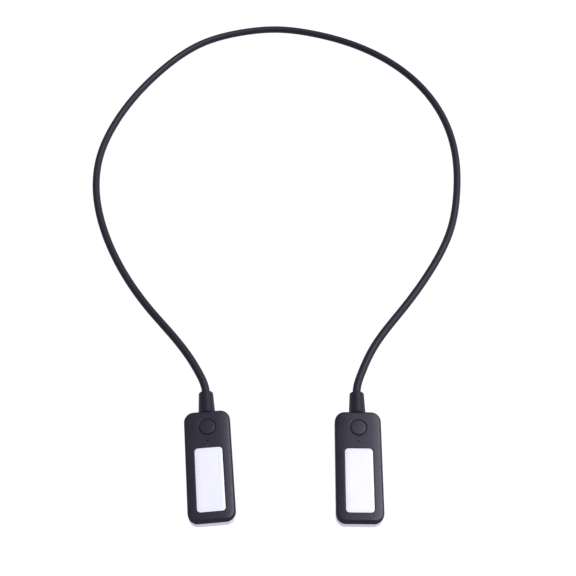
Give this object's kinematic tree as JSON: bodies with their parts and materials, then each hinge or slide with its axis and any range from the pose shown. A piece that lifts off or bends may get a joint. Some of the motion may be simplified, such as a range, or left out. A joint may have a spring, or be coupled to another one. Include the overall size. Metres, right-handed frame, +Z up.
{
  "type": "neck reading light",
  "caption": "Neck reading light: a bendable gooseneck loop worn round the neck, with a slim rectangular battery lamp head, push button and light window on each end.",
  "frame": {"origin": "centre of the bounding box on the table under the light, which lies on its back", "axes": "+X across the loop, +Y from the lamp heads to the loop's back arc, +Z up, out of the lamps' light windows"},
  "size_m": [0.2446, 0.371, 0.0114],
  "materials": {
    "black_plastic": "fine moulded texture",
    "button_plastic": "smooth satin",
    "white_plastic": "satin",
    "diffuser_plastic": "milky, satin",
    "silicone": "smooth matt silicone",
    "boot_rubber": "matt",
    "wire_metal": "drawn wire",
    "brass": "crimped",
    "screw_steel": "plated",
    "socket_steel": "plated",
    "switch_metal": "plated",
    "board_green": "solder mask",
    "clear_plastic": "clear",
    "battery_foil": "soft foil",
    "red_insulation": "smooth",
    "black_insulation": "smooth"
  },
  "bodies": {
    "root": {"neck_sleeve_back": "silicone", "neck_wire_back": "wire_metal", "left_neck_sleeve_spread": "silicone", "left_neck_wire_spread": "wire_metal", "right_neck_sleeve_spread": "silicone", "right_neck_wire_spread": "wire_metal"},
    "left_shoulder": {"left_neck_sleeve_fold": "silicone", "left_neck_wire_fold": "wire_metal"},
    "left_arm": {"left_neck_sleeve_arm": "silicone", "left_neck_wire_arm": "wire_metal", "left_neck_sleeve_tilt": "silicone", "left_neck_wire_tilt": "wire_metal"},
    "left_wrist": {"left_neck_sleeve_twist": "silicone", "left_neck_wire_twist": "wire_metal"},
    "left_head": {"left_neck_sleeve_end": "silicone", "left_neck_wire_end": "wire_metal", "left_rear_cover": "white_plastic", "left_front_shell": "black_plastic", "left_diffuser": "diffuser_plastic", "left_circuit_board": "board_green", "left_tactile_switch": "switch_metal", "left_indicator_light_pipe": "clear_plastic", "left_battery": "battery_foil", "left_battery_lead_red": "red_insulation", "left_battery_lead_black": "black_insulation", "left_charging_socket": "socket_steel", "left_cover_screw_1": "screw_steel", "left_cover_screw_2": "screw_steel", "left_strain_relief": "boot_rubber", "left_wire_ferrule": "brass"},
    "left_button": {"left_button_cap": "button_plastic", "left_switch_stem": "black_insulation"},
    "right_shoulder": {"right_neck_sleeve_fold": "silicone", "right_neck_wire_fold": "wire_metal"},
    "right_arm": {"right_neck_sleeve_arm": "silicone", "right_neck_wire_arm": "wire_metal", "right_neck_sleeve_tilt": "silicone", "right_neck_wire_tilt": "wire_metal"},
    "right_wrist": {"right_neck_sleeve_twist": "silicone", "right_neck_wire_twist": "wire_metal"},
    "right_head": {"right_neck_sleeve_end": "silicone", "right_neck_wire_end": "wire_metal", "right_rear_cover": "white_plastic", "right_front_shell": "black_plastic", "right_diffuser": "diffuser_plastic", "right_circuit_board": "board_green", "right_tactile_switch": "switch_metal", "right_indicator_light_pipe": "clear_plastic", "right_battery": "battery_foil", "right_battery_lead_red": "red_insulation", "right_battery_lead_black": "black_insulation", "right_charging_socket": "socket_steel", "right_cover_screw_1": "screw_steel", "right_cover_screw_2": "screw_steel", "right_strain_relief": "boot_rubber", "right_wire_ferrule": "brass"},
    "right_button": {"right_button_cap": "button_plastic", "right_switch_stem": "black_insulation"}
  },
  "joints": [
    {"name": "left_spread", "type": "hinge", "parent": "root", "child": "left_shoulder", "pos_m": [-0.10893, 0.10185, 0.00235], "axis": [0, 0, -1], "range_deg": [-5, 35], "deforming": ["left_neck_sleeve_spread", "left_neck_wire_spread"]},
    {"name": "left_fold", "type": "hinge", "parent": "left_shoulder", "child": "left_arm", "pos_m": [-0.12021, 0.05354, 0.00235], "axis": [1, 0, 0], "range_deg": [-30, 90], "deforming": ["left_neck_sleeve_fold", "left_neck_wire_fold"]},
    {"name": "left_tilt", "type": "hinge", "parent": "left_arm", "child": "left_wrist", "pos_m": [-0.06081, -0.07158, 0.00447], "axis": [0.7826, 0.6225, 0], "range_deg": [-60, 60], "deforming": ["left_neck_sleeve_tilt", "left_neck_wire_tilt"]},
    {"name": "left_twist", "type": "hinge", "parent": "left_wrist", "child": "left_head", "pos_m": [-0.04432, -0.09659, 0.0054], "axis": [-0.4589, 0.8883, -0.0167], "range_deg": [-60, 60], "deforming": ["left_neck_sleeve_twist", "left_neck_wire_twist"]},
    {"name": "left_press", "type": "slide", "parent": "left_head", "child": "left_button", "axis": [0, 0, -1], "range_m": [0, 0.0005], "stiffness_N_per_m": 1000},
    {"name": "right_spread", "type": "hinge", "parent": "root", "child": "right_shoulder", "pos_m": [0.1107, 0.11033, 0.00235], "axis": [0, 0, 1], "range_deg": [-5, 35], "deforming": ["right_neck_sleeve_spread", "right_neck_wire_spread"]},
    {"name": "right_fold", "type": "hinge", "parent": "right_shoulder", "child": "right_arm", "pos_m": [0.12018, 0.06159, 0.00235], "axis": [1, 0, 0], "range_deg": [-30, 90], "deforming": ["right_neck_sleeve_fold", "right_neck_wire_fold"]},
    {"name": "right_tilt", "type": "hinge", "parent": "right_arm", "child": "right_wrist", "pos_m": [0.06362, -0.06995, 0.00447], "axis": [0.825, -0.5652, 0], "range_deg": [-60, 60], "deforming": ["right_neck_sleeve_tilt", "right_neck_wire_tilt"]},
    {"name": "right_twist", "type": "hinge", "parent": "right_wrist", "child": "right_head", "pos_m": [0.04995, -0.09657, 0.0054], "axis": [0.3601, 0.9328, -0.0167], "range_deg": [-60, 60], "deforming": ["right_neck_sleeve_twist", "right_neck_wire_twist"]},
    {"name": "right_press", "type": "slide", "parent": "right_head", "child": "right_button", "axis": [0, 0, -1], "range_m": [0, 0.0005], "stiffness_N_per_m": 1000}
  ]
}
